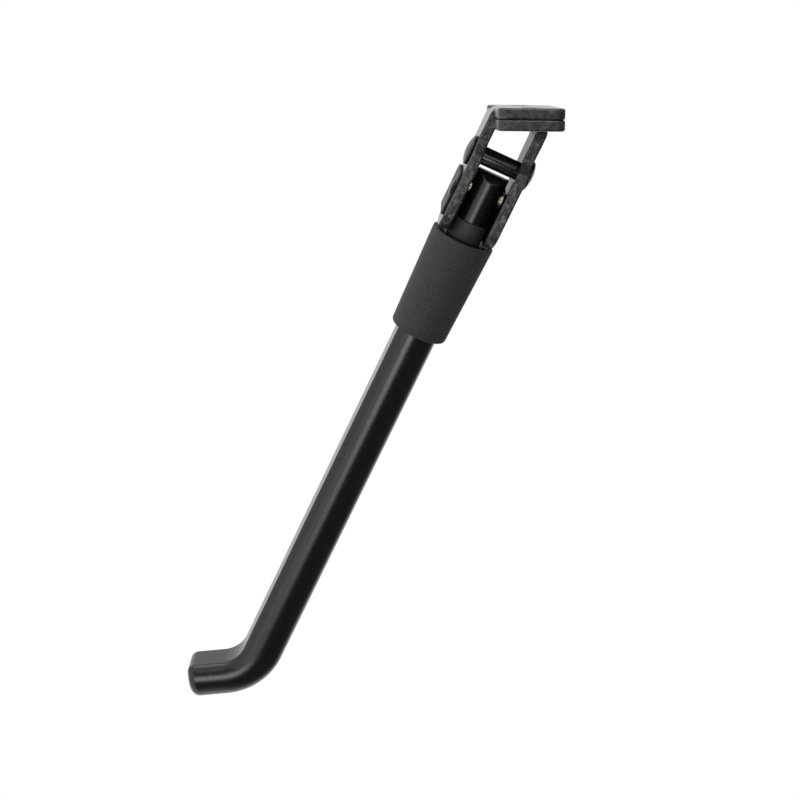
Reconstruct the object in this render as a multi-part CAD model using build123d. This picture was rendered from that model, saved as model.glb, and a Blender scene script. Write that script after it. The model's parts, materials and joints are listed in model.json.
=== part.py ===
from build123d import *
import os
from math import cos, radians, sin, sqrt, tan

# Spring-loaded side stand for an electric scooter.
#
# Row frame: the origin is the centre of the upper face of the mounting flange, which bolts
# against the underside of the deck. +Z points up, +Y forwards along the scooter and +X inwards,
# so the leg reaches down and out towards -X. All lengths are millimetres, all angles degrees.
#
# Two smaller frames carry most of the shapes. Both have their origin on the pivot and their X
# axis along the pivot pin. In the cheek frame Z runs up the pressed side plates. In the leg
# frame Z runs up the leg, which is raked forwards inside the side plates.

# Mounting flange: two stamped layers, one on top of the other
SHEET = 3.0
FLANGE_WIDTH = 17.8
FLANGE_LENGTH = 36.6
FLANGE_CORNER_R = 2.4
SCREW_SPACING = 25.6
SCREW_HOLE_R = 2.7

# How the leg hangs under the flange
LEAN = 23.8
RAKE = 10.6
PIVOT_OUTBOARD = 10.4
PIVOT_DROP = 23.2

# Pressed side plates. Their edges are given from the pivot, rearwards and forwards
HALF_GAP = 5.15
ARM_REAR = 6.5
ARM_FORE = 8.5
CHEEK_REAR = 6.8
CHEEK_FORE = 8.6
CHEEK_REACH = 13.2
CHEEK_REAR_CORNER_R = 4.8
CHEEK_FORE_CORNER_R = 2.4
WAIST_REAR = 4.6
WAIST_ABOVE_RIVET = 2.9
WAIST_TAPER = 5.5
SHOULDER_ABOVE_RIVET = 0.5
WAIST_R = 4.0
BEND_INSIDE_R = 0.5
RELIEF_WIDTH = 1.0
DETENT_DEPTH = 0.25
FLAT_BLEND_R = 2.0
PLATE_EDGE_R = 0.45
FLANGE_EDGE_R = 0.6

# Tie rivet across the arms
RIVET_HEIGHT = 9.1
RIVET_BODY_R = 2.5
RIVET_TENON_R = 2.0
RIVET_HEAD_R = 4.1
RIVET_HEAD_RIM = 0.8
RIVET_HEAD_CROWN = 0.9
RIVET_HEAD_EDGE_R = 0.35

# Pivot pin, its spacers and the keeper that closes its open end
PIN_R = 1.8
PIN_TENON_R = 1.4
SPACER_R = 2.1
SPACER_END_PLAY = 0.05
KEEPER_THICKNESS = 0.8
KEEPER_REAR = 5.6
KEEPER_FORE = 7.6
KEEPER_ABOVE = 3.0
KEEPER_BELOW = 9.2
KEEPER_CORNER_R = 1.0
KEEPER_EDGE_R = 0.3
KEEPER_RIVET_REARWARD = 4.1
KEEPER_RIVET_BELOW = 1.3
KEEPER_RIVET_R = 1.0
KEEPER_RIVET_HEAD_R = 2.1
KEEPER_RIVET_HEAD_RIM = 0.2
KEEPER_RIVET_HEAD_CROWN = 0.6

# Spring rod: the eye-ended post seen between the side plates, and the thin rod below it. The
# post's end is rounded about the pivot pin, with this radius
POST_R = 4.45
POST_END_R = 5.85
POST_EDGE_R = 0.4
ROD_R = 2.25
WASHER_R = 4.5
WASHER_THICKNESS = 0.8
WIRE_R = 0.65
SPRING_COIL_R = 3.75
SPRING_LENGTH = 15.45
SPRING_TURNS = 5.5
NUT_ACROSS_FLATS = 7.0
NUT_HEIGHT = 3.2
ROD_BEYOND_NUT = 0.6

# Leg: spring housing at the top, flattened round bar below, bent into a foot
HOUSING_R = 7.4
NECK_RISE = 5.15
NECK_SIDE_GAP = 0.2
NECK_CHAMFER = 0.4
HOUSING_FLOOR = 1.4
BAR_R = 6.7
BAR_FLAT = 4.85
BAR_FLAT_EDGE_R = 0.8
BEND_R = 13.4
ELBOW_DISTANCE = 159.7
FOOT_LENGTH = 18.05
FOOT_ANGLE = 31.3
FOOT_END_R = 2.6

# Rubber sleeve over the housing
SLEEVE_TOP_WALL = 1.5
SLEEVE_BOTTOM_WALL = 0.6
SLEEVE_LIP = 1.3
SLEEVE_TOP_ROUND = 0.5
SLEEVE_BOTTOM_ROUND = 1.0

# Clearances
RUNNING_FIT = 0.05
PRESS_FIT = 0.02
SHOULDER_GAP = 0.35
ROD_END_GAP = 1.0
LAYER_NOTCH_GAP = 0.3

# Directions of the pivot pin and of the side plates, worked out from the lean
PIVOT = Vector(-PIVOT_OUTBOARD, 0, -PIVOT_DROP)
PIN_DIRECTION = Vector(cos(radians(LEAN)), 0, -sin(radians(LEAN)))
PLATE_DIRECTION = Vector(sin(radians(LEAN)), 0, cos(radians(LEAN)))
LEG_DIRECTION = PLATE_DIRECTION * cos(radians(RAKE)) - Vector(0, 1, 0) * sin(radians(RAKE))

CHEEK_FRAME = Plane(origin=PIVOT, x_dir=PIN_DIRECTION, z_dir=PLATE_DIRECTION)
LEG_FRAME = Plane(origin=PIVOT, x_dir=PIN_DIRECTION, z_dir=LEG_DIRECTION)

# Stations along the leg, measured down from the pivot
OUTER_FACE = HALF_GAP + SHEET
NECK_R = HALF_GAP - NECK_SIDE_GAP
MOUTH = CHEEK_REACH + SHOULDER_GAP
NECK_TOP = MOUTH - NECK_RISE
NECK_BOTTOM = MOUTH + NECK_RISE
SPRING_TOP = NECK_BOTTOM + WASHER_THICKNESS
SPRING_BOTTOM = SPRING_TOP + SPRING_LENGTH
NUT_TOP = SPRING_BOTTOM + WASHER_THICKNESS
ROD_END = NUT_TOP + NUT_HEIGHT + ROD_BEYOND_NUT
CHAMBER_FLOOR = ROD_END + ROD_END_GAP
HOUSING_END = CHAMBER_FLOOR + HOUSING_FLOOR
SLEEVE_END = HOUSING_END + SLEEVE_LIP

# The bar's round centre is set over, so that its flattened section stays central on the leg
BAR_SHIFT = (BAR_R - BAR_FLAT) / 2


def tube(outer_r, inner_r, low, high):
    """A washer or sleeve about the leg's centre line, between two heights in the leg frame."""
    ring = Circle(outer_r) - Circle(inner_r)
    return extrude(Plane.XY.offset(low) * ring, high - low)


def turned(points):
    """A solid turned about the leg's centre line from (radius, height) points."""
    outline = make_face(Polyline(*points, close=True))
    return revolve(Plane.XZ * outline, Axis.Z)


def turned_on_pin(points):
    """A solid turned about the pin direction from (distance along the pin, radius) points."""
    outline = make_face(Polyline(*points, close=True))
    return revolve(Plane.XY * outline, Axis.X)


def in_plate(forward, up):
    """Turns leg-frame (backward-forward, height) into the side plates' own coordinates."""
    y = forward * cos(radians(RAKE)) - up * sin(radians(RAKE))
    z = forward * sin(radians(RAKE)) + up * cos(radians(RAKE))
    return (y, z)


def round_corner(outline, forward, up, radius):
    """Rounds the corner of a face that lies nearest to a point given in the leg frame."""
    corner = outline.vertices().sort_by_distance(Vector(*in_plate(forward, up)))[0]
    return fillet(corner, radius)


def plate_profile():
    """Side view of an arm and its cheek, in the plane of the sheet.

    The arm drops straight from the flange, narrows to a waist just above the tie rivet, and
    flares at a shoulder into the cheek, which follows the raked leg. The cheek's lower edge is
    an arc about the pivot with a small flat where the leg's shoulder rests.
    """
    top = PIVOT_DROP * 2
    blend = RIVET_HEIGHT + RIVET_HEAD_R
    waist_height = RIVET_HEIGHT + WAIST_ABOVE_RIVET
    points = [
        (-ARM_REAR, top),
        (-ARM_REAR, waist_height + WAIST_TAPER),
        (-WAIST_REAR, waist_height),
        in_plate(-CHEEK_REAR, RIVET_HEIGHT + SHOULDER_ABOVE_RIVET),
        in_plate(-CHEEK_REAR, -CHEEK_REACH),
        in_plate(CHEEK_FORE, -CHEEK_REACH),
        in_plate(CHEEK_FORE, RIVET_HEIGHT - RIVET_HEAD_R),
        (ARM_FORE, blend),
        (ARM_FORE, top),
    ]
    outline = make_face(Polyline(*points, close=True))
    waist = outline.vertices().filter_by(lambda v: 0 < v.Y < top - SHEET)
    outline = fillet(waist, WAIST_R)
    above_pivot = Pos(0, top / 2) * Rectangle(top, top)
    outline = outline & (above_pivot + Circle(CHEEK_REACH))
    outline = round_corner(outline, -CHEEK_REAR, -sqrt(CHEEK_REACH**2 - CHEEK_REAR**2), CHEEK_REAR_CORNER_R)
    outline = round_corner(outline, CHEEK_FORE, -sqrt(CHEEK_REACH**2 - CHEEK_FORE**2), CHEEK_FORE_CORNER_R)
    flat_height = CHEEK_REACH - DETENT_DEPTH
    outline -= Rot(0, 0, RAKE) * Pos(0, -flat_height - CHEEK_REACH / 2) * Rectangle(
        2 * CHEEK_REACH, CHEEK_REACH)
    flat_half = sqrt(CHEEK_REACH**2 - flat_height**2)
    outline = round_corner(outline, -flat_half, -flat_height, FLAT_BLEND_R)
    return round_corner(outline, flat_half, -flat_height, FLAT_BLEND_R)


def strip_outline(side, under, over):
    """Folded strip seen from the front: flange stub, bend and arm, in the row's XZ plane.

    side is -1 for the outboard plate and +1 for the inboard one. under and over are the
    heights of the flange layer's two faces.
    """
    def on_plane(offset, z):
        x = PIVOT.X + (offset + sin(radians(LEAN)) * (z - PIVOT.Z)) / cos(radians(LEAN))
        return (x, z)

    inner, outer = side * HALF_GAP, side * OUTER_FACE
    bottom = -2 * PIVOT_DROP
    stub = bend_start(side, over) - side * 2 * SHEET
    points = [
        (stub, over),
        on_plane(outer, over),
        on_plane(outer, bottom),
        on_plane(inner, bottom),
        on_plane(inner, under),
        (stub, under),
    ]
    outline = make_face(Polyline(*points, close=True))
    corner_outer = outline.vertices().sort_by_distance(Vector(*points[1], 0))[0]
    outline = fillet(corner_outer, BEND_INSIDE_R + SHEET)
    corner_inner = outline.vertices().sort_by_distance(Vector(*points[4], 0))[0]
    return fillet(corner_inner, BEND_INSIDE_R)


def bend_start(side, over):
    """X where the flange's flat ends and the bend begins."""
    corner = PIVOT.X + (side * OUTER_FACE + sin(radians(LEAN)) * (over - PIVOT.Z)) / cos(radians(LEAN))
    opening = 90 + LEAN if side < 0 else 90 - LEAN
    return corner - side * (BEND_INSIDE_R + SHEET) / tan(radians(opening / 2))


def flange_layer(side, under, over):
    """One flange layer in plan: rounded corners, two screw holes and the reliefs at its bend."""
    start = bend_start(side, over)
    edge = side * FLANGE_WIDTH / 2
    plan = RectangleRounded(FLANGE_WIDTH, FLANGE_LENGTH, FLANGE_CORNER_R)
    plan -= Pos((start + edge) / 2 + side * FLANGE_WIDTH / 4, (ARM_FORE - ARM_REAR) / 2) * Rectangle(
        abs(edge - start) + FLANGE_WIDTH / 2, ARM_REAR + ARM_FORE + 2 * RELIEF_WIDTH)
    plan -= GridLocations(0, SCREW_SPACING, 1, 2) * Circle(SCREW_HOLE_R)
    if side > 0:
        plan -= passage_for_outboard_arm()
    layer = extrude(Plane.XY.offset(under) * plan, over - under)
    lower_face, *_, upper_face = layer.faces().sort_by(Axis.Z)
    rims = lower_face.outer_wire().edges() + upper_face.outer_wire().edges()
    return fillet(rims, FLANGE_EDGE_R)


def passage_for_outboard_arm():
    """Notch in the lower layer that lets the outboard arm pass down beside it."""
    inside = bend_start(-1, 0) + LAYER_NOTCH_GAP
    depth = FLANGE_WIDTH / 2 + inside
    width = ARM_REAR + ARM_FORE + 2 * LAYER_NOTCH_GAP
    return Pos(inside - depth, (ARM_FORE - ARM_REAR) / 2) * Rectangle(2 * depth, width)


def side_plate(side, under, over, pin_hole_r):
    """A stamped and folded side plate: flange layer, bend, arm and cheek in one piece of sheet."""
    strip = extrude(Plane.XZ * strip_outline(side, under, over), FLANGE_LENGTH / 2, both=True)
    profile = extrude(Plane.YZ * plate_profile(), 3 * FLANGE_WIDTH, both=True)
    folded = strip & (CHEEK_FRAME.location * profile)
    folded = folded.solids().sort_by(SortBy.VOLUME)[-1]
    rims = folded.faces().filter_by(Axis(PIVOT, PIN_DIRECTION)).edges()
    bend_lines = rims.filter_by(Axis.Y)
    folded = fillet([edge for edge in rims if edge not in bend_lines], PLATE_EDGE_R)
    plate = folded + flange_layer(side, under, over)
    bores = Pos(side * OUTER_FACE, 0, RIVET_HEIGHT) * Rot(0, 90, 0) * Cylinder(
        RIVET_TENON_R + RUNNING_FIT, 4 * SHEET)
    bores += Pos(side * OUTER_FACE, 0, 0) * Rot(0, 90, 0) * Cylinder(pin_hole_r, 4 * SHEET)
    if side < 0:
        bores += Pos(-OUTER_FACE, -KEEPER_RIVET_REARWARD, -KEEPER_RIVET_BELOW) * Rot(0, 90, 0) * Cylinder(
            KEEPER_RIVET_R + PRESS_FIT, 4 * SHEET)
    return plate - LEG_FRAME.location * bores


def domed_head(start, radius, rim, crown, edge_r):
    """Rivet head on the pin direction: a short rim, then a spherical crown."""
    rim_end, top = start + rim, start + rim + crown
    outline = make_face([
        Polyline((top, 0), (start, 0), (start, radius), (rim_end, radius)),
        TangentArc((top, 0), (rim_end, radius), tangent=(0, 1)),
    ])
    outline = fillet(outline.vertices().sort_by_distance(Vector(rim_end, radius))[0], edge_r)
    return revolve(Plane.XY * outline, Axis.X)


def tie_rivet():
    """Shouldered cross rivet: a spacer body between the arms, tenons through them, domed heads."""
    shank = turned_on_pin([
        (0, 0),
        (0, RIVET_BODY_R),
        (HALF_GAP, RIVET_BODY_R),
        (HALF_GAP, RIVET_TENON_R),
        (OUTER_FACE, RIVET_TENON_R),
        (OUTER_FACE, 0),
    ])
    head = domed_head(OUTER_FACE, RIVET_HEAD_R, RIVET_HEAD_RIM, RIVET_HEAD_CROWN, RIVET_HEAD_EDGE_R)
    half = shank + head
    return LEG_FRAME.location * Pos(0, 0, RIVET_HEIGHT) * (half + mirror(half, Plane.YZ))


def pivot_pin():
    """Stepped pivot pin: its tenon is flush with the inboard plate, its plain end with the outboard."""
    pin = turned_on_pin([
        (-OUTER_FACE, 0),
        (-OUTER_FACE, PIN_R),
        (HALF_GAP, PIN_R),
        (HALF_GAP, PIN_TENON_R),
        (OUTER_FACE, PIN_TENON_R),
        (OUTER_FACE, 0),
    ])
    return LEG_FRAME.location * pin


def pivot_spacer(side):
    """Brass spacer ring on the pin, between the post and one side plate."""
    inside, outside = POST_R + SPACER_END_PLAY, HALF_GAP - SPACER_END_PLAY
    ring = turned_on_pin([
        (side * inside, PIN_R + PRESS_FIT),
        (side * inside, SPACER_R),
        (side * outside, SPACER_R),
        (side * outside, PIN_R + PRESS_FIT),
    ])
    return LEG_FRAME.location * ring


def keeper_plate():
    """Thin rounded plate over the open end of the pivot pin, on the outboard cheek."""
    width, height = KEEPER_REAR + KEEPER_FORE, KEEPER_ABOVE + KEEPER_BELOW
    face = Pos((KEEPER_FORE - KEEPER_REAR) / 2, (KEEPER_ABOVE - KEEPER_BELOW) / 2) * RectangleRounded(
        width, height, KEEPER_CORNER_R)
    face -= Pos(-KEEPER_RIVET_REARWARD, -KEEPER_RIVET_BELOW) * Circle(KEEPER_RIVET_R + PRESS_FIT)
    plate = extrude(Plane.YZ.offset(-OUTER_FACE) * face, -KEEPER_THICKNESS)
    outer_rim = plate.faces().sort_by(Axis.X)[0].outer_wire().edges()
    plate = fillet(outer_rim, KEEPER_EDGE_R)
    return LEG_FRAME.location * plate


def keeper_rivet():
    """Small domed rivet that holds the keeper to the cheek, behind the pin."""
    outside = OUTER_FACE + KEEPER_THICKNESS
    shank = turned_on_pin([
        (HALF_GAP, 0),
        (HALF_GAP, KEEPER_RIVET_R),
        (outside, KEEPER_RIVET_R),
        (outside, 0),
    ])
    head = domed_head(outside, KEEPER_RIVET_HEAD_R, KEEPER_RIVET_HEAD_RIM, KEEPER_RIVET_HEAD_CROWN,
                      KEEPER_RIVET_HEAD_RIM / 2)
    rivet = mirror(shank + head, Plane.YZ)
    return LEG_FRAME.location * Pos(0, -KEEPER_RIVET_REARWARD, -KEEPER_RIVET_BELOW) * rivet


def spring_rod():
    """Post with an eye for the pin, running down into a thin rod.

    The eye's end is rounded about the pin, so its gap to the tie rivet is the same at every
    swing of the leg.
    """
    post = Pos(0, 0, (POST_END_R - NECK_TOP) / 2) * Cylinder(POST_R, POST_END_R + NECK_TOP)
    round_end = Rot(0, 90, 0) * Cylinder(POST_END_R, 4 * POST_R)
    below_pin = Pos(0, 0, -NECK_TOP / 2) * Box(4 * POST_R, 4 * POST_R, NECK_TOP)
    post = post & (round_end + below_pin)
    post = fillet(post.faces().sort_by(Axis.Z)[-1].outer_wire().edges(), POST_EDGE_R)
    post = chamfer(post.edges().group_by(Axis.Z)[0], NECK_CHAMFER / 2)
    rod = Pos(0, 0, -(NECK_TOP + ROD_END) / 2) * Cylinder(ROD_R, ROD_END - NECK_TOP)
    rod = chamfer(rod.edges().group_by(Axis.Z)[0], NECK_CHAMFER)
    eye = Rot(0, 90, 0) * Cylinder(PIN_R + RUNNING_FIT, 4 * POST_R)
    return LEG_FRAME.location * (post + rod - eye)


def compression_spring():
    """Helical spring about the rod, between the two washers."""
    lift = SPRING_LENGTH - 2 * WIRE_R
    coil = Helix(pitch=lift / SPRING_TURNS, height=lift, radius=SPRING_COIL_R)
    section = Plane(origin=coil @ 0, z_dir=coil % 0) * Circle(WIRE_R)
    wire = sweep(section, path=coil, is_frenet=True)
    return LEG_FRAME.location * Pos(0, 0, -SPRING_BOTTOM + WIRE_R) * wire


def rod_nut():
    """Hexagon nut at the rod's lower end."""
    nut = extrude(RegularPolygon(NUT_ACROSS_FLATS / 2, 6, major_radius=False) - Circle(ROD_R + PRESS_FIT),
                  NUT_HEIGHT)
    return LEG_FRAME.location * Pos(0, 0, -NUT_TOP - NUT_HEIGHT) * nut


def neck_bush():
    """Bush pressed into the housing's mouth. It guides the rod and stands up between the cheeks."""
    bush = turned([
        (ROD_R + RUNNING_FIT, -NECK_TOP),
        (NECK_R - NECK_CHAMFER, -NECK_TOP),
        (NECK_R, -NECK_TOP - NECK_CHAMFER),
        (NECK_R, -NECK_BOTTOM),
        (ROD_R + RUNNING_FIT, -NECK_BOTTOM),
    ])
    return LEG_FRAME.location * bush


def bar_section(grow=0.0):
    """Round bar with one flattened side, facing -X, seen along the bar."""
    flat = BAR_FLAT + grow
    face = Circle(BAR_R + grow) - Pos(-flat - BAR_R, 0) * Rectangle(2 * BAR_R, 4 * BAR_R)
    return fillet(face.vertices(), BAR_FLAT_EDGE_R)


def bar_solid(grow=0.0, start=0.0):
    """The flattened bar swept down the leg, round its bend and out along the foot."""
    away = radians(FOOT_ANGLE)
    top = (-BAR_SHIFT, 0, -start)
    elbow = (-BAR_SHIFT, 0, -ELBOW_DISTANCE)
    end = (-BAR_SHIFT - FOOT_LENGTH * cos(away), 0, -ELBOW_DISTANCE - FOOT_LENGTH * sin(away))
    centre_line = FilletPolyline(top, elbow, end, radius=BEND_R)
    section = Plane(origin=top, x_dir=(1, 0, 0), z_dir=(0, 0, -1)) * bar_section(grow)
    return sweep(section, path=centre_line)


def leg():
    """One-piece leg: bored spring housing, flattened bar, bend and rounded foot."""
    bar = bar_solid(start=HOUSING_END - HOUSING_FLOOR / 2)
    away = radians(FOOT_ANGLE)
    out = Vector(-cos(away), 0, -sin(away))
    tip = bar.faces().sort_by(lambda f: f.center().dot(out))[-1]
    bar = fillet(tip.edges(), FOOT_END_R)
    housing = tube(HOUSING_R, NECK_R + PRESS_FIT, -CHAMBER_FLOOR, -MOUTH)
    floor = Pos(0, 0, -(CHAMBER_FLOOR + HOUSING_END) / 2) * Cylinder(HOUSING_R, HOUSING_FLOOR)
    return LEG_FRAME.location * (housing + floor + bar)


def rubber_sleeve():
    """Tapered rubber sleeve drawn over the housing, with a lip that hugs the flattened bar."""
    body = turned([
        (HOUSING_R + PRESS_FIT, -MOUTH),
        (HOUSING_R + SLEEVE_TOP_WALL, -MOUTH),
        (HOUSING_R + SLEEVE_BOTTOM_WALL, -SLEEVE_END),
        (0, -SLEEVE_END),
        (0, -HOUSING_END),
        (HOUSING_R + PRESS_FIT, -HOUSING_END),
    ])
    rings = body.edges().filter_by(GeomType.CIRCLE)
    top_rim = rings.group_by(Axis.Z)[-1].sort_by(SortBy.RADIUS)[-1]
    body = fillet(top_rim, SLEEVE_TOP_ROUND)
    bottom_rim = body.edges().filter_by(GeomType.CIRCLE).group_by(Axis.Z)[0]
    body = fillet(bottom_rim, SLEEVE_BOTTOM_ROUND)
    above_lip = Plane(origin=(-BAR_SHIFT, 0, -HOUSING_END + SLEEVE_LIP), x_dir=(1, 0, 0), z_dir=(0, 0, -1))
    passage = extrude(above_lip * bar_section(PRESS_FIT), 3 * SLEEVE_LIP)
    return LEG_FRAME.location * (body - passage)


def washer(top):
    """Flat washer on the rod, with its upper face at the given distance below the pivot."""
    return LEG_FRAME.location * tube(WASHER_R, ROD_R + RUNNING_FIT, -top - WASHER_THICKNESS, -top)


PIECES = {
    "outboard_side_plate": lambda: side_plate(-1, -SHEET, 0, PIN_R + RUNNING_FIT),
    "inboard_side_plate": lambda: side_plate(1, -2 * SHEET, -SHEET, PIN_TENON_R + RUNNING_FIT),
    "tie_rivet": tie_rivet,
    "pivot_pin": pivot_pin,
    "outboard_pivot_spacer": lambda: pivot_spacer(-1),
    "inboard_pivot_spacer": lambda: pivot_spacer(1),
    "keeper_plate": keeper_plate,
    "keeper_rivet": keeper_rivet,
    "spring_rod": spring_rod,
    "compression_spring": compression_spring,
    "spring_top_washer": lambda: washer(NECK_BOTTOM),
    "spring_bottom_washer": lambda: washer(SPRING_BOTTOM),
    "rod_nut": rod_nut,
    "neck_bush": neck_bush,
    "leg": leg,
    "rubber_sleeve": rubber_sleeve,
}

os.makedirs("parts", exist_ok=True)
for name, make in PIECES.items():
    solid = make()
    export_step(solid, f"parts/{name}.step")
    box = solid.bounding_box()
    print(f"{name}: {solid.volume:.1f} mm3, z {box.min.Z:.2f} to {box.max.Z:.2f}")
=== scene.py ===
# %% [markdown]
# # A scooter kickstand, piece by piece
#
# The object is a black side stand for an electric scooter. Two folded steel plates hang under
# the deck, a leg swings between them on a cross pin, and a rubber sleeve covers the spring
# housing at the leg's top. The engineering model is already packed as a fixed frame, so this
# file only gives it its looks: smooth surfaces where the frame is faceted, a finish for every
# piece, studio light and a camera.

# %% Load the frame
import json
from math import atan2, cos, pi, radians, sin, sqrt, tan

import bmesh
import bpy
import numpy as np
from mathutils import Matrix, Vector


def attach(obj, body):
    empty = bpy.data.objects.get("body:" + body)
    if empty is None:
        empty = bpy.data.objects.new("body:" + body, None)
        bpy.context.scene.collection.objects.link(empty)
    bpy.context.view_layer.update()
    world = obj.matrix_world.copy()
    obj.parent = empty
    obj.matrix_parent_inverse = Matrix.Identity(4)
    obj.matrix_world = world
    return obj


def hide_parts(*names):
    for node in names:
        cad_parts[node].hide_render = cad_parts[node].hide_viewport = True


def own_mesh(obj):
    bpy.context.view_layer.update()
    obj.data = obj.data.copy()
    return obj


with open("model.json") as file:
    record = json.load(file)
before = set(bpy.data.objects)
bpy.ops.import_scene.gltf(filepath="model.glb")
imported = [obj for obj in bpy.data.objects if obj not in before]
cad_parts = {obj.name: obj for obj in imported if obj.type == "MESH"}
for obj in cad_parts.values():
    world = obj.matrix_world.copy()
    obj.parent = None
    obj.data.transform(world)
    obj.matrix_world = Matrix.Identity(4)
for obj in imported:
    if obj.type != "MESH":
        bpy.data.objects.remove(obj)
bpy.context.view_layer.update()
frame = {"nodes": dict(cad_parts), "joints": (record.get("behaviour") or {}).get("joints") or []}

# %% [markdown]
# ## The leg's own axes
#
# Nearly every round piece here is turned about one of two lines: the pivot pin or the leg.
# The frame's record already holds both, as the axis of the swing and the axis of the pull.
# Working in those axes keeps each shape as simple as it is on a lathe, and one small function
# turns the result into the row's axes at the end.

# %% Read the pivot and the directions
MM = 0.001
joints = {joint["name"]: joint for joint in frame["joints"]}
swing, pull = joints["leg_swing"], joints["leg_pull"]
PIVOT = np.array(swing["pos_m"])
PIN = -np.array(swing["axis"]) / np.linalg.norm(swing["axis"])
UP_LEG = -np.array(pull["axis"]) / np.linalg.norm(pull["axis"])
FORWARD = np.cross(UP_LEG, PIN)
LEG_AXES = np.array([PIN, FORWARD, UP_LEG])


def place(local):
    """Row coordinates of points given along the pin, forwards and up the leg, from the pivot."""
    return PIVOT + np.asarray(local) @ LEG_AXES


print("pivot", PIVOT.round(4), "up the leg", UP_LEG.round(3))

# %% [markdown]
# ## Surfaces from two parameters
#
# A turned piece is a profile carried round a circle, and the leg is a section carried down a
# bent line. Both are a stack of closed rings: one parameter counts the rings, the other goes
# round each ring. One function turns such a stack into a mesh, with a point at each end where
# the rings close, so no piece has a hole in its skin. A ring-shaped piece has no ends, so a
# second function joins its last ring to its first.

# %% Helpers that make a skin
RING = 144
ROUND = np.linspace(0, 2 * pi, RING, endpoint=False)
SHARP_BEYOND = radians(40)


def as_piece(name, points, faces):
    """An object with this mesh: smooth, but sharp where faces meet at more than SHARP_BEYOND."""
    mesh = bpy.data.meshes.new(name)
    mesh.from_pydata(points.tolist(), [], faces)
    mesh.validate()
    mesh.shade_smooth()
    mesh.set_sharp_from_angle(angle=SHARP_BEYOND)
    piece = bpy.data.objects.new(name, mesh)
    bpy.context.scene.collection.objects.link(piece)
    face_outwards(piece)
    return piece


def face_outwards(piece):
    """Turns every face outwards, by the recalculation that Blender offers in edit mode."""
    work = bmesh.new()
    work.from_mesh(piece.data)
    bmesh.ops.recalc_face_normals(work, faces=work.faces)
    work.to_mesh(piece.data)
    work.free()


def skin(name, stacks):
    """A closed skin from stacks of closed rings, each an array of (rings, points round, xyz).

    Quad (i, j) joins points j and j + 1 of ring i to those of ring i + 1. The first and last
    ring are each closed by a fan to their mean point.
    """
    points, faces, first = [], [], 0
    for rings in stacks:
        rings = np.asarray(rings, float)
        count, around = rings.shape[:2]
        grid = first + np.arange(count * around).reshape(count, around)
        nxt = np.roll(grid, -1, axis=1)
        quads = np.stack([grid[:-1], nxt[:-1], nxt[1:], grid[1:]], axis=-1).reshape(-1, 4)
        start, end = first + count * around, first + count * around + 1
        fan_start = np.stack([nxt[0], grid[0], np.full(around, start)], axis=-1)
        fan_end = np.stack([grid[-1], nxt[-1], np.full(around, end)], axis=-1)
        faces += quads.tolist() + fan_start.tolist() + fan_end.tolist()
        points += [rings.reshape(-1, 3), rings[0].mean(0)[None], rings[-1].mean(0)[None]]
        first = end + 1
    return as_piece(name, np.concatenate(points), faces)


def tube_skin(name, rings):
    """A closed skin from rings whose last is the first again, like that of a ring-shaped piece."""
    count, around = rings.shape[0] - 1, rings.shape[1]
    grid = np.arange(count * around).reshape(count, around)
    grid = np.concatenate([grid, grid[:1]])
    nxt = np.roll(grid, -1, axis=1)
    quads = np.stack([grid[:-1], nxt[:-1], nxt[1:], grid[1:]], axis=-1).reshape(-1, 4)
    return as_piece(name, rings[:-1].reshape(-1, 3), quads.tolist())


def softened(corners, steps=6):
    """A profile through (a, b, radius) corners, in metres, with each corner rounded.

    At a corner the two sides are cut back by radius / tan(half the corner's angle), and an arc
    of that radius, sampled evenly, joins the two cuts.
    """
    xy = np.array([c[:2] for c in corners], float)
    out = [xy[:1]]
    for before, here, after, corner in zip(xy[:-2], xy[1:-1], xy[2:], corners[1:-1]):
        radius = corner[2] if len(corner) > 2 else 0.0
        if radius <= 0:
            out.append(here[None])
            continue
        one, two = before - here, after - here
        one, two = one / np.linalg.norm(one), two / np.linalg.norm(two)
        half = np.arccos(np.clip(one @ two, -1, 1)) / 2
        middle = here + (one + two) / np.linalg.norm(one + two) * radius / sin(half)
        a, b = here + one * radius / tan(half) - middle, here + two * radius / tan(half) - middle
        turn = np.arctan2(a[0] * b[1] - a[1] * b[0], a @ b) * np.linspace(0, 1, steps + 1)[:, None]
        side = np.array([-a[1], a[0]])
        out.append(middle + a * np.cos(turn) + side * np.sin(turn))
    return np.concatenate(out + [xy[-1:]])


def fine(profile, step):
    """The same profile with no stretch between points longer than step."""
    out = [profile[:1]]
    for a, b in zip(profile[:-1], profile[1:]):
        parts = max(1, int(np.ceil(np.linalg.norm(b - a) / step)))
        out.append(a + (b - a) * np.linspace(0, 1, parts + 1)[1:, None])
    return np.concatenate(out)


def turned_on_leg(profile):
    """Rings of a (radius, height) profile turned about the leg: r cos t, r sin t, height."""
    r, z = profile[:, :1], profile[:, 1:]
    return place(np.stack([r * np.cos(ROUND), r * np.sin(ROUND), z + 0 * ROUND], axis=-1))


def turned_on_pin(profile):
    """Rings of a (distance, radius) profile turned about the pin: distance, r cos t, r sin t."""
    x, r = profile[:, :1], profile[:, 1:]
    return place(np.stack([x + 0 * ROUND, r * np.cos(ROUND), r * np.sin(ROUND)], axis=-1))


print("helpers ready, ring of", RING, "points")

# %% [markdown]
# ## Finishes
#
# Almost everything here is black, so the difference between the pieces is in how they shine.
# The coat on the leg is satin and a little uneven, the post and the rivet are smooth and
# glossy, the sleeve is matte rubber, and the sheared edges of the plates are rough under their
# coat and look mottled grey. Each finish is a Principled shader with its colour, roughness and
# a fine bump driven by noise in Object coordinates, so the grain keeps its real size. Painted
# shade takes the shine off the rim of the leg's mouth and, further on, off the cheeks' inner
# sides, so that these places between the parts look dark.

# %% Node helpers


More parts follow.
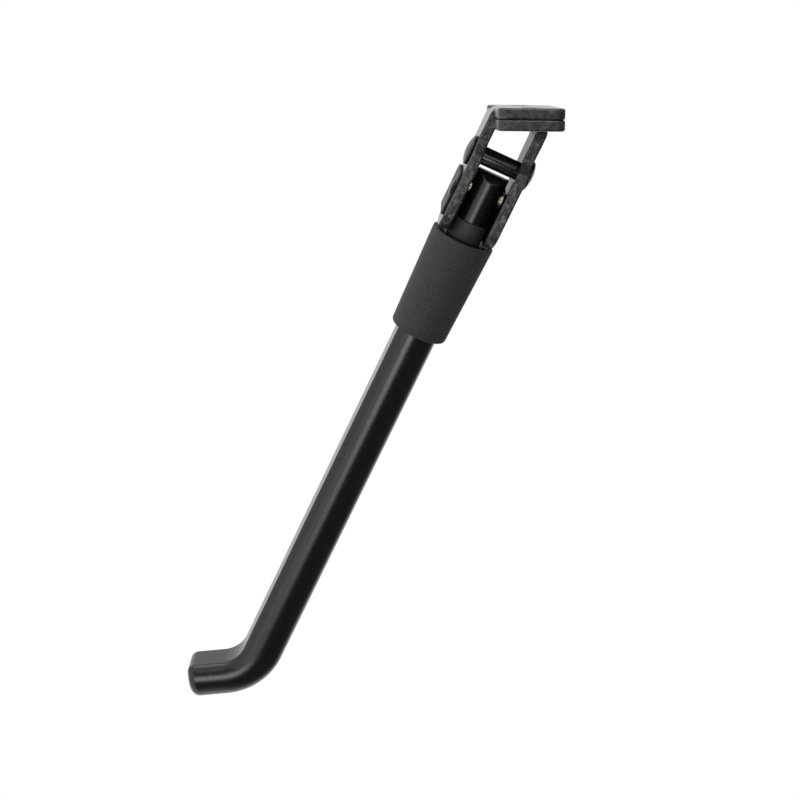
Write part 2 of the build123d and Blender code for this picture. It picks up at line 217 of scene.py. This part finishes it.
def shader_of(name):
    """A new material, its node tree, its Principled shader and its Object coordinates."""
    material = bpy.data.materials.new(name)
    material.use_nodes = True
    tree = material.node_tree
    shader = tree.nodes["Principled BSDF"]
    where = tree.nodes.new("ShaderNodeTexCoord").outputs["Object"]
    return material, tree, shader, where


def noise(tree, where, size_mm, detail=3.0):
    """Noise whose blotches are about size_mm across."""
    node = tree.nodes.new("ShaderNodeTexNoise")
    node.inputs["Scale"].default_value = 1 / (size_mm * MM)
    node.inputs["Detail"].default_value = detail
    tree.links.new(where, node.inputs["Vector"])
    return node.outputs["Fac"]


def map_range(tree, value, low, high, at_low, at_high, way="LINEAR"):
    """Maps low..high to at_low..at_high, and holds the end values beyond them."""
    node = tree.nodes.new("ShaderNodeMapRange")
    node.interpolation_type = way
    node.inputs["From Min"].default_value = low
    node.inputs["From Max"].default_value = high
    node.inputs["To Min"].default_value = at_low
    node.inputs["To Max"].default_value = at_high
    tree.links.new(value, node.inputs["Value"])
    return node.outputs["Result"]


def between(tree, factor, low, high):
    """Maps a factor from 0.3..0.7, where noise mostly lies, to low..high."""
    return map_range(tree, factor, 0.3, 0.7, low, high)


def ramp(tree, value, low, high, at_low, at_high):
    """A smooth step from at_low to at_high while the value goes from low to high."""
    return map_range(tree, value, low, high, at_low, at_high, "SMOOTHSTEP")


def tint(tree, factor, dark, light):
    """Colour that goes from dark to light with a factor."""
    node = tree.nodes.new("ShaderNodeMix")
    node.data_type = "RGBA"
    node.inputs["A"].default_value = (*dark, 1)
    node.inputs["B"].default_value = (*light, 1)
    tree.links.new(factor, node.inputs["Factor"])
    return node.outputs["Result"]


def either(tree, factor, if_0, if_1, kind="FLOAT"):
    """One of two other nodes' outputs, or a mix of them, chosen by a factor of 0 to 1."""
    node = tree.nodes.new("ShaderNodeMix")
    node.data_type = kind
    for name, value in (("Factor", factor), ("A", if_0), ("B", if_1)):
        tree.links.new(value, node.inputs[name])
    return node.outputs["Result"]


def bump(tree, shader, height, depth_mm):
    """Bump from a height of 0 to 1 that stands for depth_mm."""
    node = tree.nodes.new("ShaderNodeBump")
    node.inputs["Strength"].default_value = 1.0
    node.inputs["Distance"].default_value = depth_mm * MM
    tree.links.new(height, node.inputs["Height"])
    tree.links.new(node.outputs["Normal"], shader.inputs["Normal"])
    return node


def math(tree, operation, *values):
    """A math node whose inputs are numbers or other nodes' outputs."""
    node = tree.nodes.new("ShaderNodeMath")
    node.operation = operation
    for socket, value in zip(node.inputs, values):
        if isinstance(value, (int, float)):
            socket.default_value = value
        else:
            tree.links.new(value, socket)
    return node.outputs[0]


def along(tree, direction, axis):
    """The dot product of a direction with a fixed unit vector."""
    node = tree.nodes.new("ShaderNodeVectorMath")
    node.operation = "DOT_PRODUCT"
    tree.links.new(direction, node.inputs[0])
    node.inputs[1].default_value = axis
    return node.outputs["Value"]


def from_pivot(tree, where):
    """Object coordinates measured from the pivot."""
    node = tree.nodes.new("ShaderNodeVectorMath")
    node.operation = "SUBTRACT"
    node.inputs[1].default_value = Vector(PIVOT)
    tree.links.new(where, node.inputs[0])
    return node.outputs["Vector"]


print("node helpers ready")

# %% One function for the plain finishes


def finish(name, dark, light, rough, grain_mm, depth_mm, patch_mm=6.0, metal=0.0, shine=0.5):
    """A coat whose colour drifts from dark to light in patches, with a fine grain as bump."""
    material, tree, shader, where = shader_of(name)
    patches = noise(tree, where, patch_mm)
    grain = noise(tree, where, grain_mm)
    tree.links.new(tint(tree, patches, dark, light), shader.inputs["Base Color"])
    tree.links.new(between(tree, grain, *rough), shader.inputs["Roughness"])
    shader.inputs["Metallic"].default_value = metal
    shader.inputs["Specular IOR Level"].default_value = shine
    bump(tree, shader, grain, depth_mm)
    return material


def grey(value):
    """A neutral colour, very slightly cool, as black coats are."""
    return (value, value, value * 1.04)


leg_coat = finish("leg_satin_black", grey(0.006), grey(0.009), (0.20, 0.28), 0.5, 0.005)
post_coat = finish("post_gloss_black", grey(0.004), grey(0.006), (0.24, 0.30), 0.4, 0.002)
rivet_coat = finish("rivet_gloss_black", grey(0.008), grey(0.011), (0.18, 0.26), 0.4, 0.003)
keeper_coat = finish("keeper_matte_black", grey(0.014), grey(0.026), (0.5, 0.65), 0.5, 0.01,
                     patch_mm=2.0)
bush_moulded = finish("bush_matte_dark_grey", grey(0.028), grey(0.036), (0.55, 0.7), 0.35, 0.01)
rubber = finish("sleeve_matte_rubber", grey(0.006), grey(0.074), (0.6, 0.8), 0.3, 0.04,
                patch_mm=0.4, shine=0.3)
pin_steel = finish("pin_turned_steel", grey(0.35), grey(0.45), (0.28, 0.4), 0.3, 0.002, metal=1.0)
spring_steel = finish("spring_oiled_steel", grey(0.24), grey(0.34), (0.3, 0.42), 0.3, 0.003,
                      metal=1.0)
brass = finish("spacer_turned_brass", (0.50, 0.41, 0.29), (0.66, 0.56, 0.42), (0.25, 0.4), 0.3,
               0.004, metal=1.0)

# %% Painted shade on the rim of the leg's mouth: its shine taken away
# The low shine is painted shade. It darkens the rim of the leg's mouth and the plates' inner sides,
# where the parts sit close.
COAT_SHINE, PAINTED_SHADE_SHINE = 0.5, 0.03
MOUTH_SHADE_FROM, MOUTH_SHADE_FULL = -14.6 * MM, -14.3 * MM
# Above this height up the leg from the pivot, the rim loses its shine as painted shade between the
# leg, the bush and the cheeks.
tree = leg_coat.node_tree
where = tree.nodes.new("ShaderNodeTexCoord").outputs["Object"]
up_leg = along(tree, from_pivot(tree, where), Vector(UP_LEG))
mouth = ramp(tree, up_leg, MOUTH_SHADE_FROM, MOUTH_SHADE_FULL, COAT_SHINE, PAINTED_SHADE_SHINE)
tree.links.new(mouth, tree.nodes["Principled BSDF"].inputs["Specular IOR Level"])
print("materials so far", len(bpy.data.materials))

# %% [markdown]
# ## The leg
#
# The real leg is one piece: a round housing at the top, and a thick bar with one side pressed
# flat, bent outwards near the ground into a short foot. Sweeping a circle would lose the flat,
# which is what catches the light along the whole leg. So the section is worked out first, as
# a circle cut by a line with two small rounds, and then carried down a straight, an arc and a
# second straight. At the tip the same section shrinks along a quarter circle, which rounds
# the foot's end.

# %% Sizes of the leg, in metres
BAR_R, BAR_FLAT, FLAT_EDGE_R = 6.7 * MM, 4.85 * MM, 0.8 * MM
BEND_R, ELBOW, FOOT_LENGTH = 13.4 * MM, 159.7 * MM, 18.05 * MM
FOOT_ANGLE, FOOT_END_R = radians(31.3), 2.6 * MM
MOUTH, HOUSING_R, BORE_R = 13.55 * MM, 7.4 * MM, 4.97 * MM
CHAMBER_FLOOR, HOUSING_END = 40.55 * MM, 41.95 * MM
BAR_SHIFT = (BAR_R - BAR_FLAT) / 2


def bar_section(shrink=0.0):
    """Points round the flattened bar: a circle of radius R cut by the line x = -f.

    A small round of radius e sits in each corner. Its centre lies R - e from the middle, so it
    touches the circle, and e from the line. shrink moves the whole outline inwards.
    """
    r, f = BAR_R - shrink, BAR_FLAT - shrink
    e = max(FLAT_EDGE_R - shrink, 0.05 * MM)
    rise = sqrt((r - e) ** 2 - (f - e) ** 2)
    meet = atan2(rise, e - f)
    big = np.linspace(-meet, meet, 101)
    small = np.linspace(meet, pi, 9)[1:]
    flat = np.linspace(rise, -rise, 15)[1:-1]
    top = np.stack([e - f + e * np.cos(small), rise + e * np.sin(small)], axis=-1)
    side = np.stack([np.full(flat.size, -f), flat], axis=-1)
    bottom = top[::-1] * (1, -1)
    round_side = np.stack([r * np.cos(big), r * np.sin(big)], axis=-1)
    return np.concatenate([round_side, top, side, bottom[:-1]])


print("points round the bar", len(bar_section()))

# %% Carry the section down the leg
def bar_rings(start):
    """Rings down the bar: each section stands on the centre line, square to it.

    After a turn of t round the bend, the section's own x direction is (cos t, 0, -sin t), and
    the centre line runs along (-sin t, 0, -cos t). The bar's top end is hidden in the housing.
    """
    turn = pi / 2 - FOOT_ANGLE
    cut = BEND_R * tan(turn / 2)
    stations = []
    for z in np.linspace(-start, -(ELBOW - cut), 60):
        stations.append((np.array([0, 0, z]), 0.0, 0.0))
    for t in np.linspace(0, turn, 49)[1:]:
        arc = np.array([-BEND_R * (1 - cos(t)), 0, -(ELBOW - cut) - BEND_R * sin(t)])
        stations.append((arc, t, 0.0))
    end_of_bend = stations[-1][0]
    foot_line = np.array([-sin(turn), 0, -cos(turn)])
    straight = FOOT_LENGTH - cut - FOOT_END_R
    for s in np.linspace(0, straight, 13)[1:]:
        stations.append((end_of_bend + foot_line * s, turn, 0.0))
    for q in np.linspace(0, pi / 2, 13)[1:]:
        reach = straight + FOOT_END_R * sin(q)
        stations.append((end_of_bend + foot_line * reach, turn, FOOT_END_R * (1 - cos(q))))
    rings = []
    for middle, t, shrink in stations:
        xy = bar_section(shrink)
        across = np.array([cos(t), 0, -sin(t)])
        rings.append(middle + xy[:, :1] * across + xy[:, 1:] * np.array([0, 1, 0]))
    return place(np.array(rings) - np.array([BAR_SHIFT, 0, 0]))


BAR_INTO_HOUSING = 0.7 * MM
cup = softened([
    (0, -CHAMBER_FLOOR), (BORE_R, -CHAMBER_FLOOR, 0.3 * MM), (BORE_R, -MOUTH, 0.2 * MM),
    (HOUSING_R, -MOUTH, 0.3 * MM), (HOUSING_R, -HOUSING_END, 0.4 * MM), (0, -HOUSING_END),
])
leg_skin = skin("leg_skin", [turned_on_leg(fine(cup, 2 * MM)),
                             bar_rings(HOUSING_END - BAR_INTO_HOUSING)])
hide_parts("leg")
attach(leg_skin, "swinging_leg")
leg_skin.data.materials.append(leg_coat)
print("leg", len(leg_skin.data.polygons), "faces")

# %% [markdown]
# ## The rubber sleeve
#
# A short tapered tube of soft rubber covers the spring housing. Its top edge is nearly square
# with a thin rim, and its bottom edge is well rounded and closes in round the flat-sided bar.
# The outside is turned, but the hole at the bottom has the bar's shape, so the rings go from
# one outline to the other, always at the same angles as the bar's own points.

# %% Make the sleeve
SLEEVE_TOP_R, SLEEVE_BOTTOM_R, SLEEVE_END = 8.9 * MM, 8.0 * MM, 43.25 * MM
FIT = 0.02 * MM


def sleeve_rings():
    """Closed rings from the hole's lip, round the outside and down the inside again."""
    hole = bar_section(-FIT) - np.array([BAR_SHIFT, 0])
    angle = np.arctan2(hole[:, 1], hole[:, 0])
    unit = np.stack([np.cos(angle), np.sin(angle)], axis=-1)
    outside = fine(softened([
        (HOUSING_R + FIT, -HOUSING_END), (HOUSING_R + FIT, -MOUTH, 0.25 * MM),
        (SLEEVE_TOP_R, -MOUTH, 0.3 * MM), (SLEEVE_BOTTOM_R, -SLEEVE_END, 1.0 * MM),
        (BAR_R + 0.3 * MM, -SLEEVE_END),
    ]), 0.7 * MM)
    rings = [np.column_stack([hole, np.full(len(hole), -HOUSING_END)])]
    rings += [np.column_stack([unit * r, np.full(len(hole), z)]) for r, z in outside]
    rings += [np.column_stack([hole, np.full(len(hole), -SLEEVE_END)])]
    rings += [rings[0]]
    return place(np.array(rings))


sleeve = tube_skin("sleeve_skin", sleeve_rings())
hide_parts("rubber_sleeve")
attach(sleeve, "swinging_leg")
sleeve.data.materials.append(rubber)
print("sleeve", len(sleeve.data.polygons), "faces")

# %% [markdown]
# ## Turned pieces
#
# The neck bush and the post come off a lathe, so each is one profile turned about the leg's
# line. Rounding every corner of the profile, if only by a tenth of a millimetre, gives each
# piece the thin bright line that real edges show. The post's end is then milled round about
# the pin, and a cross hole is drilled through it. The post's skin is a few hundredths of a
# millimetre larger than the frame's post, so that no daylight shows beside the plate.

# %% Neck bush
NECK_R, NECK_TOP, NECK_BOTTOM, ROD_R = 4.95 * MM, 8.4 * MM, 18.7 * MM, 2.25 * MM
ROD_BORE_R = ROD_R + 0.05 * MM

bush_profile = softened([
    (ROD_BORE_R, -NECK_BOTTOM), (ROD_BORE_R, -NECK_TOP, 0.15 * MM),
    (NECK_R, -NECK_TOP, 0.45 * MM), (NECK_R, -NECK_BOTTOM, 0.1 * MM), (ROD_BORE_R, -NECK_BOTTOM),
])
neck_bush = tube_skin("neck_bush_skin", turned_on_leg(fine(bush_profile, 1 * MM)))
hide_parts("neck_bush")
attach(neck_bush, "swinging_leg")
neck_bush.data.materials.append(bush_moulded)
print("bush", len(neck_bush.data.polygons), "faces")

# %% Post with its eye
POST_R, POST_END_R, POST_EDGE_R, EYE_R = 4.495 * MM, 5.85 * MM, 0.4 * MM, 1.85 * MM
ROD_END, ROD_CHAMFER, SHOULDER_CHAMFER = 39.55 * MM, 0.4 * MM, 0.2 * MM


def post_end(r):
    """Height of the post's end at radius r: a cylinder about the pin, z = sqrt(E^2 - y^2)."""
    return np.sqrt(POST_END_R ** 2 - (r * np.cos(ROUND)) ** 2)


def post_rings():
    """Rings up the rod, out to the post, up its side and in over its end.

    Going outwards in the direction t, the end falls by the slope tan(b) = r cos(t)^2 / z. Its
    edge is an arc of radius e that touches the side and very nearly the end, so the arc turns
    through 90 degrees less b.
    """
    inner = POST_R - POST_EDGE_R
    slope = np.arctan2(inner * np.cos(ROUND) ** 2, post_end(inner))
    arc_middle = post_end(inner) - POST_EDGE_R / np.cos(slope)
    radius_height = [
        (ROD_R - ROD_CHAMFER, -ROD_END), (ROD_R, ROD_CHAMFER - ROD_END), (ROD_R, -NECK_TOP),
        (POST_R - SHOULDER_CHAMFER, -NECK_TOP),
    ]
    low = SHOULDER_CHAMFER - NECK_TOP
    radius_height += [(POST_R, low + (arc_middle - low) * k) for k in np.linspace(0, 1, 13)]
    for k in np.linspace(0, 1, 9)[1:]:
        turn = k * (pi / 2 - slope)
        radius_height.append((inner + POST_EDGE_R * np.cos(turn),
                              arc_middle + POST_EDGE_R * np.sin(turn)))
    rim = radius_height[-1][0]
    radius_height += [(rim * k, post_end(rim * k)) for k in np.linspace(1, 0, 13)[1:-1]]
    rings = [np.stack([r * np.sin(ROUND), r * np.cos(ROUND), z + 0 * ROUND], axis=-1)
             for r, z in radius_height]
    return place(np.array(rings))


def drilled(piece, drill):
    """Cuts the closed skin drill out of piece, and removes the drill."""
    cut = piece.modifiers.new("cross hole", "BOOLEAN")
    cut.object, cut.operation, cut.solver = drill, "DIFFERENCE", "EXACT"
    ready = piece.evaluated_get(bpy.context.evaluated_depsgraph_get())
    mesh = bpy.data.meshes.new_from_object(ready)
    piece.modifiers.clear()
    piece.data = mesh
    bpy.data.objects.remove(drill)
    mesh.set_sharp_from_angle(angle=SHARP_BEYOND)
    return piece


drill = skin("drill", [turned_on_pin(np.array([(-2 * POST_R, EYE_R), (2 * POST_R, EYE_R)]))])
post = drilled(skin("post_skin", [post_rings()]), drill)
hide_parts("spring_rod")
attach(post, "rod")
post.data.materials.clear()
post.data.materials.append(post_coat)
print("post", len(post.data.polygons), "faces")

# %% [markdown]
# ## Pieces that keep the frame's mesh
#
# The folded plates have outlines that the frame already holds exactly, rounded edges and all.
# A copy of that mesh, with its doubled points merged, shades smoothly once its normals are
# weighted by the size of each face: the flats stay flat and the small rounds stay round. The
# rivets, the keeper plate, the pin, its brass spacers, the washers and the nut are copied in
# the same way. So is the spring, which shortens towards its lower end when the leg is pulled.

# %% A coat for folded sheet
FLANGE_ONLY_BEYOND_Y, CHEEK_END_BELOW_Z = 9.5 * MM, -26 * MM


def mark_sheared(piece):
    """Writes the face attribute "sheared": 1 on the sheet's cut edges, 0 on its two sides.

    The fold runs along Y, so no side of the sheet, flat or bent, has a normal with a Y part.
    The flange's long edges and the cheek's lower end may have none either, so they are told by
    place: the flange alone reaches far out along Y, and the cheek's end alone lies that low.
    """
    count = len(piece.data.polygons)
    normal, middle = np.empty(count * 3), np.empty(count * 3)
    piece.data.polygons.foreach_get("normal", normal)
    piece.data.polygons.foreach_get("center", middle)
    normal, middle = normal.reshape(-1, 3), middle.reshape(-1, 3)
    cut = np.abs(normal[:, 1]) > 0.5
    cut |= (np.abs(middle[:, 1]) > FLANGE_ONLY_BEYOND_Y) & (np.abs(normal[:, 2]) < 0.5)
    cut |= (middle[:, 2] < CHEEK_END_BELOW_Z) & (np.abs(normal @ PIN) < 0.5)
    layer = piece.data.attributes.new("sheared", "FLOAT", "FACE")
    layer.data.foreach_set("value", cut.astype(float))
    return int(cut.sum())


HALF_GAP, GAP_MARGIN, FLANGE_BOTTOM = 5.15 * MM, 0.1 * MM, -6.1 * MM
# Below this height up the leg from the pivot, the plates' inner sides lose all reflection as
# painted shade between the plates, with a fade of the given width.
PAINTED_SHADE_TOP, PAINTED_SHADE_FADE = 2.7 * MM, 0.5 * MM
BLOTCH_MM, GRAIN_MM, PEEL_MM, PATCH_MM = 1.7, 0.45, 2.0, 5.0
PEEL_DEPTH_MM, GRAIN_SHARE, SIDE_RELIEF = 0.28, 0.05, 0.15


def sheet_shine(tree, where, is_cut):
    """How much the sheet reflects: fully, except on its inner sides below the flange.

    Within the gap the coat is dulled, and below a set height, measured up the leg from the
    pivot, it has no reflection at all: painted shade that makes the inner sides look dark
    between the plates.
    """
    local = from_pivot(tree, where)
    across = math(tree, "ABSOLUTE", along(tree, local, Vector(PIN)))
    height = along(tree, local, Vector(UP_LEG))
    inside = ramp(tree, height, PAINTED_SHADE_TOP - PAINTED_SHADE_FADE, PAINTED_SHADE_TOP + PAINTED_SHADE_FADE,
                  0.0, PAINTED_SHADE_SHINE)
    beyond_gap = math(tree, "GREATER_THAN", across, HALF_GAP + GAP_MARGIN)
    in_flange = math(tree, "GREATER_THAN", along(tree, where, Vector((0, 0, 1))), FLANGE_BOTTOM)
    outside = math(tree, "MAXIMUM", math(tree, "MAXIMUM", is_cut, beyond_gap), in_flange)
    return math(tree, "MAXIMUM", inside, math(tree, "MULTIPLY", outside, COAT_SHINE))


def sheet_finish(name):
    """Smooth semi-gloss coat on the sheet's sides, a thin uneven coat on its rough cut edges."""
    material, tree, shader, where = shader_of(name)
    sheared = tree.nodes.new("ShaderNodeAttribute")
    sheared.attribute_name = "sheared"
    is_cut = sheared.outputs["Fac"]
    tree.links.new(sheet_shine(tree, where, is_cut), shader.inputs["Specular IOR Level"])
    blotch = between(tree, noise(tree, where, BLOTCH_MM, detail=5.0), 0.0, 1.0)
    side_colour = tint(tree, noise(tree, where, PATCH_MM), grey(0.006), grey(0.010))
    cut_colour = tint(tree, blotch, grey(0.016), grey(0.060))
    colour = either(tree, is_cut, side_colour, cut_colour, "RGBA")
    tree.links.new(colour, shader.inputs["Base Color"])
    grain = noise(tree, where, GRAIN_MM)
    side_rough, cut_rough = between(tree, grain, 0.18, 0.26), between(tree, grain, 0.24, 0.40)
    tree.links.new(either(tree, is_cut, side_rough, cut_rough), shader.inputs["Roughness"])
    peel = noise(tree, where, PEEL_MM, detail=1.5)
    height = math(tree, "ADD", peel, math(tree, "MULTIPLY", grain, GRAIN_SHARE))
    relief = bump(tree, shader, height, PEEL_DEPTH_MM)
    strength = map_range(tree, is_cut, 0.0, 1.0, SIDE_RELIEF, 1.0)
    tree.links.new(strength, relief.inputs["Strength"])
    return material


plate_coat = sheet_finish("plate_black")
print("plate coat has", len(plate_coat.node_tree.nodes), "nodes")

# %% Copy a frame node as a smooth piece
DOUBLED_WITHIN, COPY_SHARP_BEYOND = 0.0005 * MM, radians(35)


def smooth_copy(node, body, material):
    """A merged copy of a CAD node that stands for it, shaded smooth with weighted normals."""
    source = frame["nodes"][node]
    mesh = source.data.copy()
    mesh.name = node + "_skin"
    work = bmesh.new()
    work.from_mesh(mesh)
    bmesh.ops.remove_doubles(work, verts=work.verts, dist=DOUBLED_WITHIN)
    work.to_mesh(mesh)
    work.free()
    mesh.materials.clear()
    mesh.materials.append(material)
    mesh.shade_smooth()
    mesh.set_sharp_from_angle(angle=COPY_SHARP_BEYOND)
    piece = bpy.data.objects.new(node + "_skin", mesh)
    bpy.context.scene.collection.objects.link(piece)
    weighted = piece.modifiers.new("weighted normals", "WEIGHTED_NORMAL")
    weighted.keep_sharp = True
    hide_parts(node)
    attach(piece, body)
    return piece


for node in ("outboard_side_plate", "inboard_side_plate"):
    plate = smooth_copy(node, "bracket", plate_coat)
    print(node, "has", mark_sheared(plate), "faces on its cut edges")
smooth_copy("tie_rivet", "bracket", rivet_coat)
smooth_copy("keeper_plate", "bracket", keeper_coat)
smooth_copy("keeper_rivet", "bracket", rivet_coat)
smooth_copy("pivot_pin", "bracket", pin_steel)
for side in ("outboard", "inboard"):
    smooth_copy(side + "_pivot_spacer", "bracket", brass)
spring = smooth_copy("compression_spring", "rod", spring_steel)
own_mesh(spring)
smooth_copy("spring_bottom_washer", "rod", spring_steel)
smooth_copy("rod_nut", "rod", spring_steel)
smooth_copy("spring_top_washer", "swinging_leg", spring_steel)

# %% [markdown]
# ## Camera
#
# The viewpoint was worked out from the object's known height and the slant of its edges: about
# half a metre away, level with the bracket and looking slightly down. The camera's axes are
# built from yaw, pitch and roll, and its lens from the focal length in picture widths.

# %% Place the camera
EYE = Vector((-0.0564, -0.526, 0.0122))
YAW, PITCH, ROLL = radians(2.59), radians(-9.96), radians(0.765)
FOCAL_IN_WIDTHS = 1943 / 800
SENSOR_WIDTH = 36

ahead = Vector((sin(YAW) * cos(PITCH), cos(YAW) * cos(PITCH), sin(PITCH)))
level = Vector((cos(YAW), -sin(YAW), 0))
above = level.cross(ahead)
right = level * cos(ROLL) + above * sin(ROLL)
up = above * cos(ROLL) - level * sin(ROLL)

camera = bpy.data.objects.new("camera", bpy.data.cameras.new("camera"))
bpy.context.scene.collection.objects.link(camera)
camera.matrix_world = Matrix((
    (right.x, up.x, -ahead.x, EYE.x),
    (right.y, up.y, -ahead.y, EYE.y),
    (right.z, up.z, -ahead.z, EYE.z),
    (0, 0, 0, 1),
))
camera.data.sensor_width = SENSOR_WIDTH
camera.data.lens = SENSOR_WIDTH * FOCAL_IN_WIDTHS
camera.data.clip_start = 0.01
bpy.context.scene.camera = camera
print("lens", round(camera.data.lens, 1), "mm")

# %% [markdown]
# ## Studio
#
# The object is black, so it is drawn by what it reflects. A product tent is white at the back
# and at the left, while the camera's side is dark and stays out of the pure white picture. The
# sky below does the same: its colour, as a reflection sees it, depends only on the direction,
# dark towards the camera and its right, white elsewhere. Four soft boxes stand on the camera's
# side. The low one draws the long line down the post and the leg, and together with the high
# one it draws the two lines on the tie rivet and on the foot. A faint one at the left lifts the
# leg's left half, and one overhead lights the plates' shoulders. Diffuse light comes from a
# plain room of even brightness and from soft lamps.

# %% Sky by direction
def soft_box(tree, direction, centre, half_width, half_height, radiance, soft=0.6):
    """A glowing soft-edged box round a direction, with half sizes in sines of an angle.

    Its width runs across the leg and its height along it: the two axes are the pin's direction
    and the leg's, each made square to the centre. The last factor keeps the box off the far side.
    """
    middle = Vector(centre).normalized()
    across = Vector(PIN) - middle * middle.dot(Vector(PIN))
    across.normalize()
    tall = middle.cross(across)
    light = radiance
    for axis, half in ((across, half_width), (tall, half_height)):
        off = math(tree, "ABSOLUTE", along(tree, direction, axis))
        fall = ramp(tree, off, half * (1 - soft), half * (1 + soft), 1.0, 0.0)
        light = math(tree, "MULTIPLY", light, fall)
    near_side = math(tree, "GREATER_THAN", along(tree, direction, middle), 0.0)
    return math(tree, "MULTIPLY", light, near_side)


SKY_AXIS = Vector((-0.75, 0.6, 0.1))
SKY_DARK, SKY_WHITE, SKY_DARK_BELOW, SKY_WHITE_ABOVE = 0.07, 1.0, -0.3, 0.12
ROOM = 0.68
LOW_BOX = dict(centre=(-0.27, -0.92, -0.30), half_width=0.17, half_height=0.17, radiance=5.1)
HIGH_BOX = dict(centre=(0.03, -0.95, 0.28), half_width=0.32, half_height=0.09, radiance=3.6)
LEFT_BOX = dict(centre=(-0.60, -0.75, -0.29), half_width=0.25, half_height=0.30, radiance=0.6)
TOP_BOX = dict(centre=(0.00, -0.60, 0.80), half_width=0.50, half_height=0.25, radiance=3.0)

world = bpy.data.worlds.new("studio")
bpy.context.scene.world = world
world.use_nodes = True
tree = world.node_tree
tree.nodes.clear()
rays = tree.nodes.new("ShaderNodeLightPath")
direction = tree.nodes.new("ShaderNodeTexCoord").outputs["Generated"]
sky = ramp(tree, along(tree, direction, SKY_AXIS), SKY_DARK_BELOW, SKY_WHITE_ABOVE,
           SKY_DARK, SKY_WHITE)
for box in (LOW_BOX, HIGH_BOX, LEFT_BOX, TOP_BOX):
    sky = math(tree, "ADD", sky, soft_box(tree, direction, **box))
strength = ROOM
for ray, more_than_room in (("Is Glossy Ray", math(tree, "SUBTRACT", sky, ROOM)),
                            ("Is Camera Ray", 1.0 - ROOM), ("Is Transmission Ray", 1.0 - ROOM)):
    part = math(tree, "MULTIPLY", rays.outputs[ray], more_than_room)
    strength = math(tree, "ADD", strength, part)
background = tree.nodes.new("ShaderNodeBackground")
background.inputs["Color"].default_value = (1, 1, 1, 1)
tree.links.new(strength, background.inputs["Strength"])
out = tree.nodes.new("ShaderNodeOutputWorld")
tree.links.new(background.outputs["Background"], out.inputs["Surface"])
print("sky ready,", len(tree.nodes), "nodes")

# %% Floor: grey paper with a white glow that the camera alone sees
FLOOR_Z, FLOOR_HALF = -0.17505, 3.0
PAPER_GREY, PAPER_GLOW, GLOW_SHARE = 0.35, 1.012, 0.985

floor_paper = bpy.data.materials.new("floor_paper")
floor_paper.use_nodes = True
tree = floor_paper.node_tree
tree.nodes.clear()
rays = tree.nodes.new("ShaderNodeLightPath")
paper = tree.nodes.new("ShaderNodeBsdfDiffuse")
paper.inputs["Color"].default_value = (PAPER_GREY, PAPER_GREY, PAPER_GREY, 1)
glow = tree.nodes.new("ShaderNodeEmission")
glow.inputs["Strength"].default_value = PAPER_GLOW
mix = tree.nodes.new("ShaderNodeMixShader")
out = tree.nodes.new("ShaderNodeOutputMaterial")
tree.links.new(math(tree, "MULTIPLY", rays.outputs["Is Camera Ray"], GLOW_SHARE), mix.inputs["Fac"])
tree.links.new(paper.outputs["BSDF"], mix.inputs[1])
tree.links.new(glow.outputs["Emission"], mix.inputs[2])
tree.links.new(mix.outputs["Shader"], out.inputs["Surface"])

corners = [(x * FLOOR_HALF, y * FLOOR_HALF, FLOOR_Z)
           for x, y in ((-1, -1), (1, -1), (1, 1), (-1, 1))]
sheet = bpy.data.meshes.new("floor")
sheet.from_pydata(corners, [], [(0, 1, 2, 3)])
sheet.materials.append(floor_paper)
floor = bpy.data.objects.new("floor", sheet)
bpy.context.scene.collection.objects.link(floor)
floor.visible_glossy = False
floor.visible_shadow = False
print("floor at", FLOOR_Z)

# %% Soft lamps
def lamp(name, place_at, target, size, power):
    """A rectangular soft lamp of the given (width, height), aimed at a point of the object."""
    light = bpy.data.lights.new(name, "AREA")
    light.shape = "RECTANGLE"
    light.size, light.size_y = size
    light.energy = power
    body = bpy.data.objects.new(name, light)
    body.location = place_at
    body.rotation_euler = (Vector(target) - Vector(place_at)).to_track_quat("-Z", "Y").to_euler()
    body.visible_glossy = False
    bpy.context.scene.collection.objects.link(body)
    return body


MIDDLE = (-0.04, 0.0, -0.09)
lamp("left_soft_lamp", (-1.0, -0.3, 0.35), MIDDLE, (0.7, 0.9), 4.5)
lamp("top_soft_lamp", (-0.1, 0.1, 1.0), MIDDLE, (0.8, 0.6), 5)
print("studio ready")

# %% Picture settings
bpy.context.scene.view_settings.view_transform = "Standard"
print("view transform", bpy.context.scene.view_settings.view_transform)
